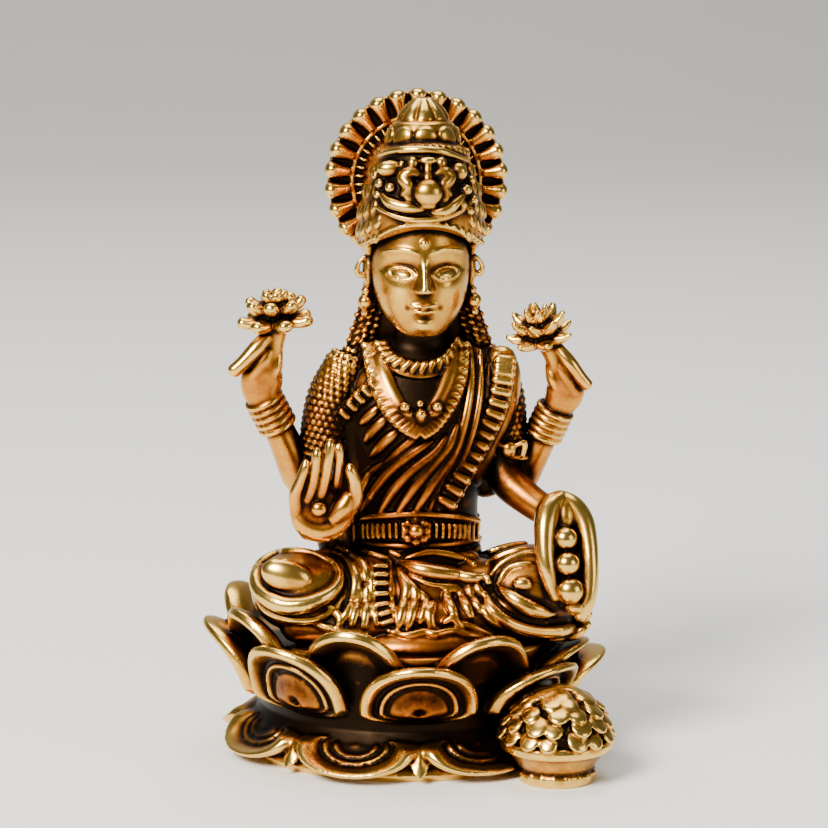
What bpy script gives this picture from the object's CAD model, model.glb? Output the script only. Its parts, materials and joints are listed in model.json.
import json
from math import cos, hypot, pi, radians, sin

import bpy
import numpy as np
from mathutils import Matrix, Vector
from mathutils.bvhtree import BVHTree

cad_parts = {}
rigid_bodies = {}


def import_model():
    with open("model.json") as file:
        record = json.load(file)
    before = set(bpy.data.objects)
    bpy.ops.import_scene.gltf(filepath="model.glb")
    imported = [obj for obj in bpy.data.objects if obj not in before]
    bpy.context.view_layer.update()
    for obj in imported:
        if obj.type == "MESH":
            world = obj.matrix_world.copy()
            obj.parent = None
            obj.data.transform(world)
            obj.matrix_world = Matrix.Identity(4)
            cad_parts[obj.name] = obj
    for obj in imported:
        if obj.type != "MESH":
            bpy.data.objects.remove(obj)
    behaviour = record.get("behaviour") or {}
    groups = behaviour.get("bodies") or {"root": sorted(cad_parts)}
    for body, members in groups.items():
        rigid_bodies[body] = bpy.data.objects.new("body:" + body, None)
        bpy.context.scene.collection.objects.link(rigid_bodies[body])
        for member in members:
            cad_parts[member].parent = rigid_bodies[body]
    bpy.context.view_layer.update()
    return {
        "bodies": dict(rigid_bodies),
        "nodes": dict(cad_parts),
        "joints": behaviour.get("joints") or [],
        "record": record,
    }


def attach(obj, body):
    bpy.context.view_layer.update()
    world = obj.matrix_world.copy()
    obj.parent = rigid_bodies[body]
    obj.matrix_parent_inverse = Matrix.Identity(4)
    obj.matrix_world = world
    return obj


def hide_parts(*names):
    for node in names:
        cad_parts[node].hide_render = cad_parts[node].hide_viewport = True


# Sizes in millimetres. The body is set out in hundredths of the figure's height, from the seat's middle.
FIGURE_HEIGHT = 61.5
FIGURE_OFFSET = 1.2
SEAT_HEIGHT = 14
BASE_RADIUS = 19.8
BASE_DEPTH = 0.95
WAIST_RADIUS = 16.8
WAIST_HEIGHT = 5.6
SEAT_RADIUS = 18.6
PETAL_COUNT = 8
PETAL_THICKNESS = 1.3
LOWER_HALF_WIDTH = 7.3
LOWER_REACH = 1.1
FRONT_HALF_WIDTH = 7
FRONT_REACH = 2
FRONT_CURL = 2.2
FRONT_RISE = 0.2
BACK_HALF_WIDTH = 6.5
BACK_REACH = 0.8
BACK_CURL = 1.8
BACK_RISE = 2.9
SEPAL_HALF_WIDTH = 1.25
POT_RADIUS = 6.3
POT_FOOT_RADIUS = 4.4
POT_RIM_HEIGHT = 4.6
POT_HEAP_HEIGHT = 6.2
POT_BEARING = -49
POT_DISTANCE = 23.6
COIN_RADIUS = 1.2
SHARE = FIGURE_HEIGHT / 100
LEFT, RIGHT = -1, 1

# Camera, in millimetres and degrees
VIEW_AZIMUTH = -5
VIEW_ELEVATION = 10.5
VIEW_DISTANCE = 400
MM_PER_PIXEL = 0.115
FRAME_PIXELS = 828
AIM = (1.0, 0, 38.6)
SENSOR_WIDTH = 36
METRES = 0.001


# Building blocks. A form is (points, triangles), closed unless it says otherwise.
def grid_faces(rows, columns, wrap):
    """Triangles of a grid of points, rows by columns. With wrap the last column joins the first."""
    across = columns if wrap else columns - 1
    r, c = np.meshgrid(np.arange(rows - 1), np.arange(across), indexing="ij")
    r, c = r.ravel(), c.ravel()
    a = r * columns + c
    b = r * columns + (c + 1) % columns
    return np.concatenate([np.stack([a, b, a + columns], 1), np.stack([a + columns, b, b + columns], 1)])


def skin(rings):
    """A closed form over rings of points, each end closed to its middle."""
    count, sides = rings.shape[:2]
    points = np.concatenate([rings.reshape(-1, 3), rings[:1].mean(1), rings[-1:].mean(1)])
    i = np.arange(sides)
    j = (i + 1) % sides
    first, last = count * sides, count * sides + 1
    top = (count - 1) * sides
    caps = [
        np.stack([np.full(sides, first), j, i], 1),
        np.stack([np.full(sides, last), top + i, top + j], 1),
    ]
    return points, np.concatenate([grid_faces(count, sides, True), *caps])


def unit(vectors):
    return vectors / np.maximum(np.linalg.norm(vectors, axis=-1, keepdims=True), 1e-9)


def smooth_rows(rows, count):
    """Rows of numbers read along a smooth line through them."""
    rows = np.array(rows, float)
    ends = np.vstack([2 * rows[0] - rows[1], rows, 2 * rows[-1] - rows[-2]])
    t = np.linspace(0, len(rows) - 1, count)
    k = np.minimum(t.astype(int), len(rows) - 2)
    f = (t - k)[:, None]
    a, b, c, d = (ends[k + i] for i in range(4))
    return 0.5 * (2 * b + (c - a) * f + (2 * a - 5 * b + 4 * c - d) * f**2 + (3 * b - a - 3 * c + d) * f**3)


def limb(stations, sides=14, between=6, face=(0, -1, 0), dome=0.8):
    """A round form along a smooth path of (x, y, z, radius across, radius deep)."""
    rows = [row if len(row) == 5 else (*row, row[3]) for row in stations]
    line = smooth_rows(rows, (len(rows) - 1) * between + 1)
    centre, wide, deep = line[:, :3], line[:, 3], line[:, 4]
    tangent = unit(np.gradient(centre, axis=0))
    across = unit(np.cross(face, tangent))
    inward = np.cross(tangent, across)
    angle = np.linspace(0, 2 * pi, sides, endpoint=False)[:, None]

    def ring(i, size, along):
        middle = centre[i] + tangent[i] * along * min(wide[i], deep[i]) * dome
        return middle + (np.cos(angle) * across[i] * wide[i] + np.sin(angle) * inward[i] * deep[i]) * size

    last = len(line) - 1
    bends = np.radians([78, 52, 26])
    rings = [ring(0, cos(bend), -sin(bend)) for bend in bends]
    rings += [ring(i, 1, 0) for i in range(last + 1)]
    rings += [ring(last, cos(bend), sin(bend)) for bend in bends[::-1]]
    return skin(np.array(rings))


def turn_matrix(degrees):
    x, y, z = np.radians(degrees)
    rx = np.array([[1, 0, 0], [0, cos(x), -sin(x)], [0, sin(x), cos(x)]])
    ry = np.array([[cos(y), 0, sin(y)], [0, 1, 0], [-sin(y), 0, cos(y)]])
    rz = np.array([[cos(z), -sin(z), 0], [sin(z), cos(z), 0], [0, 0, 1]])
    return rx @ ry @ rz


def turning(outline, around=120):
    """A turned form about +Z, from (radius, height) pairs."""
    outline = np.array(outline, float)
    angle = np.linspace(0, 2 * pi, around, endpoint=False)
    radius, height = outline[:, :1], outline[:, 1:]
    return skin(np.stack([radius * np.cos(angle), radius * np.sin(angle), height * np.ones(around)], -1))


def ball(centre, radii, turn=(0, 0, 0), around=18, down=12):
    polar = np.linspace(0.04, pi - 0.04, down)[::-1]
    points, faces = turning(np.stack([np.sin(polar), np.cos(polar)], 1), around)
    return points * np.array(radii) @ turn_matrix(turn).T + centre, faces


def stack(rows):
    """A form of level ellipses, rows of (height, x, y, half width, half depth)."""
    sides, between = 64, 6
    line = smooth_rows(rows, (len(rows) - 1) * between + 1)
    angle = np.linspace(0, 2 * pi, sides, endpoint=False)
    z, x, y, wide, deep = (line[:, i : i + 1] for i in range(5))
    return skin(np.stack([x + wide * np.cos(angle), y + deep * np.sin(angle), z * np.ones(sides)], -1))


def stud(bearing, radius, height, across, tall, deep, lean):
    """A rounded bead on an upright round surface, leaning out at its foot by lean degrees."""
    points, faces = ball((0, 0, 0), (deep, across, tall), around=14, down=10)
    points = points @ turn_matrix((0, lean, 0)).T + (radius, 0, height)
    return spun((points, faces), bearing)


def torus(centre, radius, thickness, turn=(0, 0, 0), deep=1, around=72):
    sides = 12
    big = np.linspace(0, 2 * pi, around, endpoint=False)[:, None]
    small = np.linspace(0, 2 * pi, sides, endpoint=False)
    spread = radius + thickness * np.cos(small)
    x, y, z = spread * np.cos(big), spread * np.sin(big) * deep, thickness * np.sin(small) + 0 * big
    rings = np.stack([x, y, z], -1)
    faces = grid_faces(around + 1, sides, True) % (around * sides)
    return rings.reshape(-1, 3) @ turn_matrix(turn).T + centre, faces


def changed(form, change):
    return change(form[0]), form[1]


def moved(form, offset):
    return form[0] + np.array(offset), form[1]


def spun(form, degrees):
    return form[0] @ turn_matrix((0, 0, degrees)).T, form[1]


def figure(forms):
    """Forms from shares of the figure's height to millimetres."""
    return [(points * SHARE + (FIGURE_OFFSET, 0, SEAT_HEIGHT), faces) for points, faces in forms]


# Carving is set out in pixels of the photograph and laid on the body along the camera's lines of sight.
def axes_of_view():
    azimuth, elevation = radians(VIEW_AZIMUTH), radians(VIEW_ELEVATION)
    level = np.array([sin(azimuth), -cos(azimuth), 0])
    back = level * cos(elevation) + (0, 0, sin(elevation))
    right = np.array([cos(azimuth), sin(azimuth), 0])
    return right, np.cross(back, right), back


VIEW_RIGHT, VIEW_UP, VIEW_BACK = axes_of_view()
EYE = np.array(AIM) + VIEW_BACK * VIEW_DISTANCE


def body_under(forms):
    points, faces = joined(forms)
    return BVHTree.FromPolygons(points.tolist(), faces.tolist())


def sight(pixel):
    """The camera's line of sight through a pixel."""
    across, down = ((place - FRAME_PIXELS / 2) * MM_PER_PIXEL for place in pixel[:2])
    return unit(AIM + VIEW_RIGHT * across - VIEW_UP * down - EYE)


def seen(body, pixel):
    """Where the line of sight through a pixel meets a body, or passes it closest."""
    line = sight(pixel)
    hit = body.ray_cast(Vector(EYE), Vector(line))[0]
    if hit is not None:
        return np.array(hit)
    place = EYE + line * VIEW_DISTANCE
    for _ in range(6):
        near = np.array(body.find_nearest(Vector(place))[0])
        place = EYE + line * np.dot(near - EYE, line)
    return place


def spot(pixel, y):
    """The point at depth y on the line of sight through a pixel."""
    line = sight(pixel)
    return EYE + line * ((y - EYE[1]) / line[1])


def traced(table):
    """Round forms, from rows of (sides, stations). A station is (pixel across, down, depth, radii)."""
    forms = []
    for sides, stations in table:
        forms.append(limb([(*spot(row[:2], row[2]), *row[3:]) for row in stations], sides=sides))
    return forms


def stroke(body, pixels, size, deep=1, lift=0.35, taper=0.45, sides=12):
    """A raised line of carving through (x, y) or (x, y, share of the size) pixels."""
    line = smooth_rows([p if len(p) == 3 else (*p, 1) for p in pixels], (len(pixels) - 1) * 5 + 1)
    t = np.linspace(0, 1, len(line))
    girth = size * line[:, 2] * (taper + (1 - taper) * np.minimum(1, 3.2 * np.minimum(t, 1 - t)) ** 0.7)
    centres = [seen(body, pixel) + VIEW_BACK * lift * r for pixel, r in zip(line, girth)]
    return limb([(*c, r, r * deep) for c, r in zip(centres, girth)], sides=sides, between=1)


def pebble(centre, radii, tilt=0, around=18, down=12):
    """A rounded bead: its radii lie across, along and towards the view, the first falling by tilt."""
    across = unit(VIEW_RIGHT - VIEW_UP * tilt)
    frame = np.stack([across, np.cross(VIEW_BACK, across), VIEW_BACK])
    points, faces = ball((0, 0, 0), radii, around=around, down=down)
    return points @ frame + centre, faces


def bead(body, pixel, radii, lift=0):
    """A pebble on a body, lifted towards the viewer."""
    return pebble(seen(body, pixel) + VIEW_BACK * lift, radii)


def beside(pixels, shift):
    """A line of pixels moved sideways."""
    line = np.array(pixels, float)
    slope = unit(np.gradient(line, axis=0))
    return [tuple(p) for p in line + np.stack([-slope[:, 1], slope[:, 0]], -1) * shift]


def rungs(body, pixels, count, radii, lift, lean=0):
    """Short bars square to a line of pixels, as on a ribbed band, or leaning by some degrees."""
    line = smooth_rows(pixels, count)
    forms = []
    for pixel, (dx, dy) in zip(line, np.gradient(line, axis=0)):
        size, turn = hypot(dx, dy), radians(lean)
        nx, ny = -dy / size, dx / size
        ax, ay = nx * cos(turn) - ny * sin(turn), nx * sin(turn) + ny * cos(turn)
        place = seen(body, pixel) + VIEW_BACK * lift
        reach = (VIEW_RIGHT * ax - VIEW_UP * ay) * max(radii[0] - radii[1], 0.05)
        ends = [(*(place - reach), *radii[1:]), (*(place + reach), *radii[1:])]
        forms.append(limb(ends, between=3, face=-VIEW_BACK, dome=1))
    return forms


# The body's tables, rows of (height, x, y, half width, half depth)
TORSO = [
    (0, 0, 1, 16, 12), (9, 0, 0.5, 14, 11), (15, 0, -1, 12.2, 9.4), (22, 0, -1.6, 11.5, 8.6),
    (30, 0.2, -1.8, 11.9, 8.6), (37, 0.3, -2, 13.4, 9), (43, 0.4, -1.5, 14.6, 8.6),
    (48, 0.6, -0.4, 13.6, 7.4), (51.5, 0.7, 0.2, 9.5, 6), (54, 0.8, 0.2, 5.4, 4.8),
    (59, 0.8, -0.6, 4.4, 4.4),
]
HEAD = [
    (55.6, 0.6, -6.4, 1.6, 1.6), (56.4, 0.6, -6, 3.8, 3.6), (58.6, 0.6, -5, 6, 5.4),
    (61.6, 0.6, -4, 7.8, 7), (65.4, 0.6, -3, 8.8, 8.2), (69.4, 0.6, -2.4, 9.1, 8.8),
    (74, 0.7, -2, 8.8, 8.8), (80, 0.9, -1.6, 7.6, 8),
]


# The lotus base
def petal(bearing, half_width, leaf, carving, focus=0.22, sink=0, columns=72, rows=44):
    """A petal bent round the base, its rings centred near its root. Carving is (place, breadth, lift)."""
    share = np.concatenate([np.linspace(0.01, 1, rows), np.linspace(1, 0.01, rows // 2)])[:, None]
    behind = np.arange(len(share))[:, None] >= rows
    angle = np.linspace(0, 2 * pi, columns, endpoint=False)
    reach = np.where(np.sin(angle) > 0, 1 - focus, focus)
    u = half_width * share * np.cos(angle)
    v = focus + reach * share * np.sin(angle)
    lift = sum(height * np.exp(-(((share - place) / breadth) ** 2)) for place, breadth, height in carving)
    lift = lift * (1 - 0.8 * np.clip(-np.sin(angle), 0, 1) ** 1.5 * share**2)
    lift = np.where(behind, -PETAL_THICKNESS * np.minimum(1, 5 * (1 - share)) ** 0.5 - 0.2, lift)
    radius, height = leaf(v)
    tuck = 2.3 * np.clip(1 - v / 0.26, 0, 1) ** 2
    radius = radius + lift - tuck
    turn = radians(bearing) + u / leaf(np.array(0.5))[0]
    return skin(np.stack([radius * np.cos(turn), radius * np.sin(turn), height - sink * v], -1))


def ramp(start, end, v):
    return start + (end - start) * v


# Each leaf gives its radius and height at a share of its length, from root to tip
def lower_leaf(v):
    radius = ramp(WAIST_RADIUS + 0.6, BASE_RADIUS + LOWER_REACH, v**0.8)
    return radius, ramp(WAIST_HEIGHT - 0.8, 0.9, v**0.9)


def front_leaf(v):
    radius = ramp(WAIST_RADIUS + 1.4, SEAT_RADIUS + FRONT_REACH, v) + FRONT_CURL * v**3
    return radius, ramp(WAIST_HEIGHT + 0.5, SEAT_HEIGHT + FRONT_RISE, v)


def back_leaf(v):
    radius = ramp(WAIST_RADIUS + 1.6, SEAT_RADIUS + BACK_REACH, v) + BACK_CURL * v**3
    return radius, ramp(WAIST_HEIGHT + 3.2, SEAT_HEIGHT + BACK_RISE, v)


# Carving on a petal, rows of (place from its heart to its edge, breadth, lift in mm)
FRONT_CARVING = [
    (0.88, 0.12, 1.45), (0.72, 0.05, -0.45), (0.63, 0.055, 0.55), (0.54, 0.04, -0.4),
    (0.0, 0.4, 0.95), (0.0, 0.09, -1.2),
]
BACK_CARVING = [(0.88, 0.12, 1.6), (0.66, 0.06, -0.3), (0.3, 0.5, -0.8)]
LOWER_CARVING = [
    (0.84, 0.19, 1.6), (0.62, 0.05, -0.6), (0.53, 0.045, 0.4), (0.44, 0.04, -0.3),
    (0.35, 0.05, 0.32), (0.2, 0.2, -0.35),
]
SEPAL_CARVING = [(0.0, 0.6, 0.8)]
# The casting leans a little, so its petals hang lower round its right side: (bearing, drop)
PETAL_SINK = [
    (-180, -0.9), (-135, -1.1), (-112, -0.9), (-90, 0), (-67, 0.1), (-45, 1.7), (-22, 3.4), (0, 3.6),
    (45, 2.4), (90, 0.4), (180, -0.9),
]


def petal_sink(bearing):
    places, drops = zip(*PETAL_SINK)
    return np.interp((bearing + 180) % 360 - 180, places, drops)


def lotus_base():
    core = [
        (0, 0),
        (BASE_RADIUS - 1, 0),
        (BASE_RADIUS - 0.6, 0.6),
        (WAIST_RADIUS + 1.3, WAIST_HEIGHT - 2),
        (WAIST_RADIUS, WAIST_HEIGHT - 0.4),
        (WAIST_RADIUS, WAIST_HEIGHT + 0.8),
        (SEAT_RADIUS - 0.8, 10.6),
        (SEAT_RADIUS - 0.4, SEAT_HEIGHT - 0.4),
        (SEAT_RADIUS - 0.8, SEAT_HEIGHT),
        (0, SEAT_HEIGHT),
    ]
    forms = [turning(core)]
    pitch = 360 / PETAL_COUNT
    for i in range(PETAL_COUNT):
        facing, between = -90 + pitch * i, -90 + pitch * (i + 0.5)
        front = petal(facing, FRONT_HALF_WIDTH, front_leaf, FRONT_CARVING, sink=petal_sink(facing))
        back = petal(between, BACK_HALF_WIDTH, back_leaf, BACK_CARVING, focus=0.1, sink=petal_sink(between))
        lower = petal(between, LOWER_HALF_WIDTH, lower_leaf, LOWER_CARVING, focus=0.16)
        sepal = petal(facing, SEPAL_HALF_WIDTH, lower_leaf, SEPAL_CARVING, columns=30, rows=20)
        forms += [front, back, lower, sepal]
    return [changed(form, lambda p: p * (1, BASE_DEPTH, 1)) for form in forms]


# The pot, heaped with coins in rows of (count, share of the way up)
COIN_ROWS = [(14, 0.1), (13, 0.28), (11, 0.46), (8, 0.64), (5, 0.8), (2, 0.93)]


def heap(share):
    radius = (POT_RADIUS - 0.5) * cos(pi / 2 * share)
    return radius, POT_RIM_HEIGHT + 0.4 + (POT_HEAP_HEIGHT - 0.8) * sin(pi / 2 * share) ** 1.05


def coin(bearing, share, size):
    """A coin that lies on the heap like a scale, its lower edge lifted."""
    radius, height = heap(share)
    lean = 56 - 50 * share
    points, faces = ball((0, 0, 0), (size * 1.12, size, 0.38), around=28, down=16)
    points = points @ turn_matrix((0, lean, 0)).T + (radius + 0.2, 0, height)
    return spun((points, faces), bearing)


def pot_outline():
    rim, foot = POT_RIM_HEIGHT, POT_FOOT_RADIUS
    turned = [(0, 0), (foot - 0.2, 0), (foot, 0.3), (foot, 1.1), (foot - 0.3, 1.5), (foot, 1.9)]
    steps = [
        (1.1, -1.5), (0.75, -1.05), (0.15, -0.9), (0, -0.6), (0, -0.1), (0.2, 0.3), (0.6, 0.45), (0.9, 0.1),
    ]
    turned += [(POT_RADIUS - inside, rim + rise) for inside, rise in steps]
    under_coins = [heap(share) for share in (0.15, 0.3, 0.45, 0.6, 0.75, 0.9)]
    turned += [(radius - 0.25 if radius > 1 else radius, height) for radius, height in under_coins]
    return turned + [(0, heap(1)[1])]


def pot():
    forms = [turning(pot_outline(), 96)]
    for row, (count, share) in enumerate(COIN_ROWS):
        for i in range(count):
            stray = sin(2.4 * i + 1.7 * row)
            bearing = 360 / count * (i + row / 2 + 0.13 * stray)
            forms.append(coin(bearing, share + 0.02 * stray, COIN_RADIUS * (1 + 0.1 * stray)))
    forms += [spun(ball((POT_FOOT_RADIUS - 0.2, 0, 0.85), (0.35, 0.5, 0.6)), 20 * i) for i in range(18)]
    away = radians(POT_BEARING)
    place = (POT_DISTANCE * cos(away), POT_DISTANCE * sin(away), 0)
    return [moved(form, place) for form in forms]


# The lap, with the knees out to the sides. Pixels are the photograph's.
KNEE_LEFT = ((-21.9, -11.4, 9.2), (9.6, 9.6, 7.6))
KNEE_RIGHT = ((21.2, -10.6, 8.8), (10.8, 9.6, 8))


def lap_mass():
    forms = [
        ball(*KNEE_LEFT, around=48, down=30),
        ball(*KNEE_RIGHT, around=48, down=30),
        limb([
            (-2, 0, 6.6, 6, 7), (-8, -0.6, 7.6, 7.4, 8.6), (-14.6, -4.6, 8.4, 7.5, 8.2),
            (-20, -10, 8.8, 7.2),
        ], sides=40),
        limb([
            (2, 0, 6, 6, 7), (8, -0.6, 6.6, 7.2, 8.6), (14.6, -4, 6.8, 7, 8.2), (21, -9, 7.8, 7.2),
        ], sides=40),
        limb([
            (-23, -14, 4.6, 4.6), (-12, -16.6, 4, 4.8), (0, -17.2, 4, 5), (12, -16.4, 4, 4.8),
            (24, -13.4, 4.2, 4.8),
        ], sides=32),
        ball((0, -11, 5.6), (14.5, 8.4, 9), around=48, down=30),
        ball((-10.5, -11, 8.4), (8, 7.6, 7), around=48, down=30),
        ball((10.5, -10.6, 8), (8, 7.4, 6.4), around=48, down=30),
        limb([(-9.5, -8.6, 13.4, 2.4), (0, -9.8, 13.8, 2.7), (9.5, -8.6, 13.2, 2.4)], sides=28),
        ball((0, -18.5, 0.4), (13, 7.4, 4.2), around=48, down=30),
    ]
    return figure(forms)


FOLD_GIRTH = 1.22
# Left knee, its thick ring and lower folds. Rows are (size in mm, pixels).
KNEE_FOLDS = [
    (0.74, [
        (333, 563, 0.7), (312, 553, 0.6), (286, 552, 0.7), (264, 562, 0.8), (257, 577), (262, 593, 1.1),
        (284, 605, 1.2), (310, 603, 1.1), (332, 591), (339, 576, 0.9), (333, 562, 0.7),
    ]),
    (0.4, [(256, 595), (266, 610), (288, 619), (312, 620), (331, 611), (344, 595)]),
]
# Bands from the left hip and the fan of pleats under them
HIP_FOLDS = [
    (0.52, [(331, 545), (350, 556), (363, 566), (366, 580)]),
    (0.5, [(334, 553), (351, 566), (356, 583), (352, 603), (342, 622)]),
    (0.4, [(338, 561), (345, 579), (343, 600), (333, 615)]),
    (0.44, [(359, 583, 0.7), (359, 600), (352, 625, 1.2)]),
    (0.42, [(367, 586, 0.7), (367, 604), (364, 628, 1.2)]),
    (0.4, [(329, 606), (340, 618), (338, 630)]),
    (0.4, [(312, 622), (328, 628), (346, 633), (366, 635)]),
    (0.32, [(371, 563), (372, 588), (374, 611), (377, 626)]),
    (0.32, [(391, 561), (391, 588), (393, 609), (397, 626)]),
    (0.42, [(341, 544), (365, 553), (388, 559)]),
    (0.4, [(353, 538), (376, 547), (400, 556)]),
]
# The cloth under the foot, its small pleats and wavy hem
CLOTH_FOLDS = [
    (0.56, [(398, 570), (407, 588), (404, 606), (398, 629)]),
    (0.5, [(406, 579), (416, 594), (413, 611), (407, 632)]),
    (0.44, [(419, 591), (426, 603), (420, 623)]),
    (0.52, [(446, 592), (449, 604), (456, 618)]),
    (0.52, [(459, 588), (463, 601), (472, 617)]),
    (0.48, [(469, 585), (472, 598), (481, 612)]),
    (0.4, [(476, 583), (481, 594), (487, 605)]),
    (0.5, [(434, 603, 1.2), (430, 614), (432, 628), (440, 631)]),
    (0.44, [(444, 623), (453, 619), (459, 626), (468, 634)]),
    (0.46, [(388, 631), (406, 636), (424, 633), (435, 635), (453, 632), (471, 636), (490, 638)]),
    (0.4, [(459, 623), (473, 628), (491, 635)]),
    (0.36, [(435, 585), (459, 591), (479, 588)]),
    (0.42, [(406, 559), (429, 553), (453, 556), (474, 564)]),
]
# Right knee, whose folds open outwards like leaves
RIGHT_FOLDS = [
    (0.38, [(491, 575), (504, 562), (524, 554), (541, 553)]),
    (0.3, [(497, 584), (510, 567), (532, 563)]),
    (0.66, [(499, 588, 0.5), (509, 595), (526, 606, 1.3), (544, 612), (554, 614, 0.5)]),
    (0.36, [(494, 595), (506, 607), (526, 617), (547, 622)]),
    (0.68, [(484, 594), (494, 612), (516, 626), (547, 631), (574, 626), (589, 614)]),
    (0.42, [(481, 606), (491, 620), (506, 629)]),
    (0.5, [(550, 638), (574, 635), (589, 624)]),
    (0.38, [(484, 553), (506, 547), (526, 543)]),
    (0.34, [(487, 563), (506, 553), (526, 548)]),
]


# Beads and lines between the folds
KNEE_BOSS = (287, 576)
KNEE_BEAD = (523, 584)
TOE_BEADS = [(484, 575), (487, 578), (488, 582)]
LAP_PANEL = [(381, 566), (381, 583), (382, 604), (387, 622)]
SOLE = [(402, 564, 0.9), (415, 568, 1.2), (432, 572, 1.2), (453, 575, 1.1), (472, 578), (483, 577, 0.7)]
SOLE_LINE = [(405, 573), (429, 584), (456, 586), (479, 584)]


def lap():
    mass = lap_mass()
    body = body_under(mass)
    forms = []
    for deep, folds in ((1, KNEE_FOLDS + RIGHT_FOLDS), (0.75, HIP_FOLDS + CLOTH_FOLDS)):
        forms += [stroke(body, line, size * FOLD_GIRTH, deep, 0.25, 0.6) for size, line in folds]
    forms.append(pebble(seen(body, KNEE_BOSS), (3, 1.95, 1.3), 0.34, 36, 24))
    forms.append(bead(body, KNEE_BEAD, (1.15, 0.8, 0.6)))
    forms += rungs(body, LAP_PANEL, 7, (0.9, 0.36, 0.55), lift=0.25)
    forms.append(stroke(body, SOLE, 0.8, lift=0.5, taper=0.7, sides=24))
    forms.append(stroke(body, SOLE_LINE, 0.32))
    forms += [bead(body, toe, (0.4, 0.36, 0.4), 0.5) for toe in TOE_BEADS]
    return mass + forms


# The trunk with its drape, sash, belt and garlands. Rows are (size in mm, pixels).
PLEATS = [
    (0.62, [(360, 424), (369, 417), (381, 404)]),
    (0.68, [(365, 442), (375, 429), (392, 412)]),
    (0.7, [(371, 456), (385, 442), (400, 428)]),
    (0.6, [(383, 465), (399, 451), (415, 437), (424, 430)]),
    (0.72, [(361, 513), (373, 492), (390, 471), (411, 454), (432, 441)]),
    (0.74, [(379, 515), (392, 492), (411, 471), (434, 453), (447, 436)]),
    (0.74, [(396, 515), (411, 492), (428, 470), (448, 446), (457, 425)]),
    (0.66, [(413, 515), (427, 492), (444, 467), (460, 440)]),
    (0.56, [(361, 494), (369, 475), (386, 461)]),
    (0.56, [(470, 346), (471, 375), (467, 408), (457, 446), (440, 483), (428, 514)]),
    (0.46, [(480, 350), (481, 379), (477, 412), (467, 448), (451, 485), (439, 513)]),
    (0.4, [(489, 364), (489, 385), (486, 408)]),
    (0.42, [(378, 391), (361, 404), (345, 416)]),
]
SASH = [(505, 360), (503, 379), (496, 410), (482, 438), (466, 468), (447, 502)]
NECKLINE = [(374, 385), (360, 398), (345, 414)]
GARLAND_LEFT = [(372, 345), (377, 369), (384, 391), (395, 411), (408, 424), (420, 430)]
GARLAND_RIGHT = [(459, 345), (457, 371), (450, 394), (440, 412), (430, 424), (420, 430)]
CHOKER = [(381, 344), (393, 360), (419, 368), (444, 362), (458, 344)]
BELT_TOP = [(352, 520), (380, 516), (416, 514), (452, 516), (478, 521)]
BELT_MIDDLE = [(354, 532), (381, 531), (416, 530), (452, 531), (477, 532)]
BELT_BOTTOM = [(353, 541), (380, 545), (416, 546), (452, 544), (478, 539)]
BELT_BOSS = (416, 531)
BELT_BACK_EDGES = (16.2, 20.6)
BELT_BACK_MIDDLE = 18.4
PENDANT_BEADS = [((420, 404), (0.5, 0.5, 0.5), 0.7), ((421, 414), (0.8, 0.36, 0.5), 0.9)]
PENDANT = [(421, 414, 1.4), (421, 420, 1), (421, 426, 0.4)]
CURL = [(21, 400), (18, 411), (11, 414), (9, 408)]
CURL_BEAD = (16, 407)


def trunk_mass():
    forms = [
        stack(TORSO),
        limb([(13, 1.6, 40, 4), (13.4, 1.6, 31, 4), (13.2, 1, 26, 3)], sides=24),
        limb([(-13.2, 1.4, 38, 4), (-14.4, 0, 28, 4.6), (-15, -1, 20, 4.4), (-14, -2, 14, 4)], sides=24),
        limb([
            (-12, 0.8, 47, 3), (-7, 0.4, 50.6, 3.4), (0.8, 0.4, 51.6, 3.6), (8, 0.4, 50.8, 3.4),
            (14, 0.6, 47.4, 3.6),
        ], sides=24),
        limb([
            (15.8, -0.4, 50.4, 3), (16, -1.4, 47, 3.6), (14.8, -2, 42, 4), (12, -2.4, 36, 4.2),
            (9, -2.8, 30, 4.4),
        ], sides=28),
        limb([
            (-11, -1.8, 45.6, 3), (-11, -2.8, 40, 3.6), (-9.8, -3.2, 34, 4), (-8.8, -3.4, 27, 4.2),
        ], sides=28),
    ]
    return figure(forms)


def ribbed_band(body, pixels, count, wide, bar, lean=0):
    """A flat band with plump bars across it."""
    band = stroke(body, pixels, wide, deep=0.45, lift=0.2, taper=0.85, sides=20)
    return [band] + rungs(body, pixels, count, (wide, bar, 0.62), lift=0.62, lean=lean)


def garland(body, pixels, side):
    """A broad ribbon, smooth along its inside and barred across its outside."""
    forms = [stroke(body, pixels, 1.4, deep=0.4, lift=0.3, taper=0.85, sides=24)]
    forms += rungs(body, beside(pixels, side * 2.6), 16, (1.02, 0.4, 0.42), lift=0.66, lean=side * 14)
    forms.append(stroke(body, beside(pixels, side * -6.5), 0.9, deep=0.6, lift=0.6, taper=0.85, sides=24))
    return forms


def jewellery(body):
    """The two garlands that meet at a pendant between two curls, and the choker."""
    forms = garland(body, GARLAND_LEFT, RIGHT) + garland(body, GARLAND_RIGHT, LEFT)
    forms += [bead(body, *place) for place in PENDANT_BEADS]
    forms.append(stroke(body, PENDANT, 0.5, lift=1.5, taper=1))
    middle = PENDANT[0][0]
    for side in (LEFT, RIGHT):
        forms.append(stroke(body, [(middle + side * x, y) for x, y in CURL], 0.4, lift=2.2))
        forms.append(bead(body, (middle + side * CURL_BEAD[0], CURL_BEAD[1]), (0.6, 0.6, 0.6), 1.5))
    forms += ribbed_band(body, CHOKER, 14, 0.98, 0.5, lean=32)
    forms.append(stroke(body, beside(CHOKER, 8.5), 0.36, lift=1, taper=0.9))
    return forms


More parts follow.
